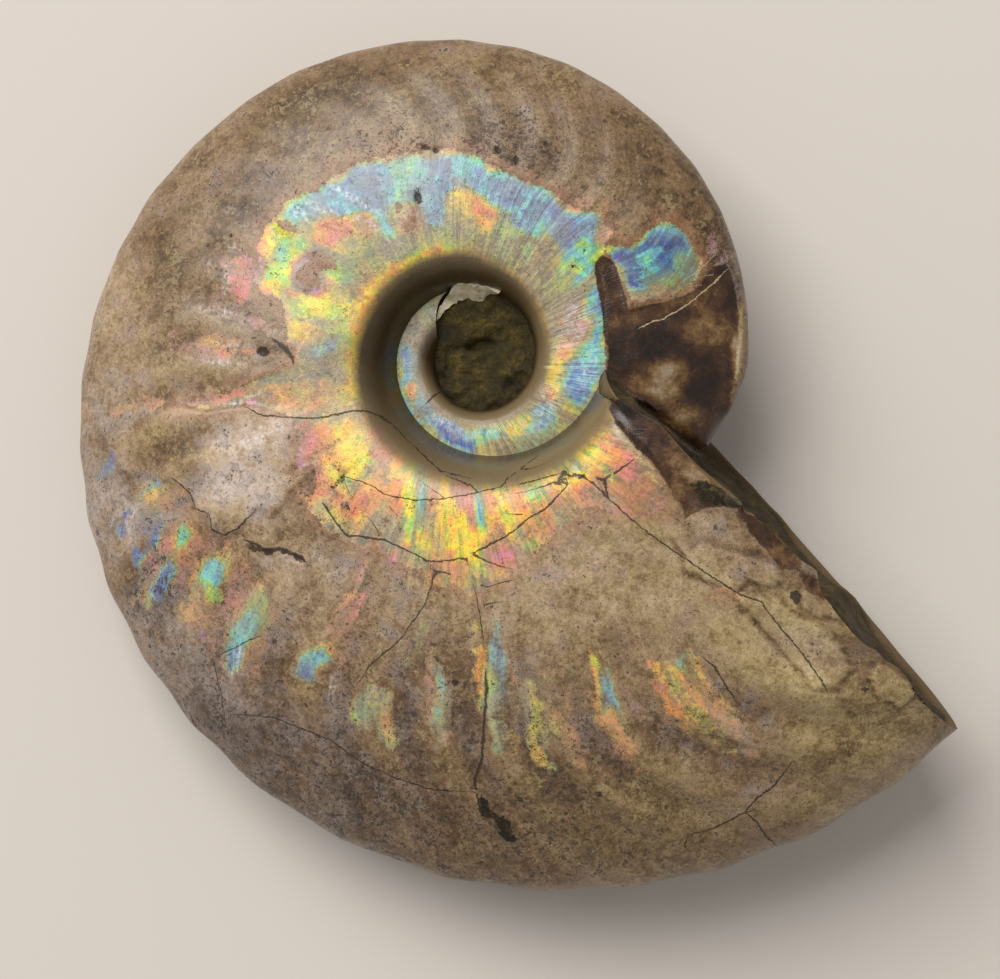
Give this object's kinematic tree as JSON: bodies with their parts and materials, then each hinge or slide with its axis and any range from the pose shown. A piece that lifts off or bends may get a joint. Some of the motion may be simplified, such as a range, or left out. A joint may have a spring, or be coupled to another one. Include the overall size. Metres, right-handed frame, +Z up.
{
  "type": "ammonite fossil",
  "caption": "Polished iridescent ammonite fossil: a coiled, ribbed shell with a hollow umbilicus on both flanks and a broken aperture, lying on its flank.",
  "frame": {"origin": "on the surface that it lies on, under the middle of its bounding box", "axes": "+Z up from the resting flank; +X towards the tip of the broken aperture, the long way; +Y away from the broken aperture, across the coil"},
  "size_m": [0.0934, 0.0908, 0.0303],
  "materials": {
    "fossil_shell": "polished fossil nacre and calcite, beige brown with iridescent patches"
  },
  "bodies": {
    "root": {"ammonite": "fossil_shell"}
  },
  "joints": []
}
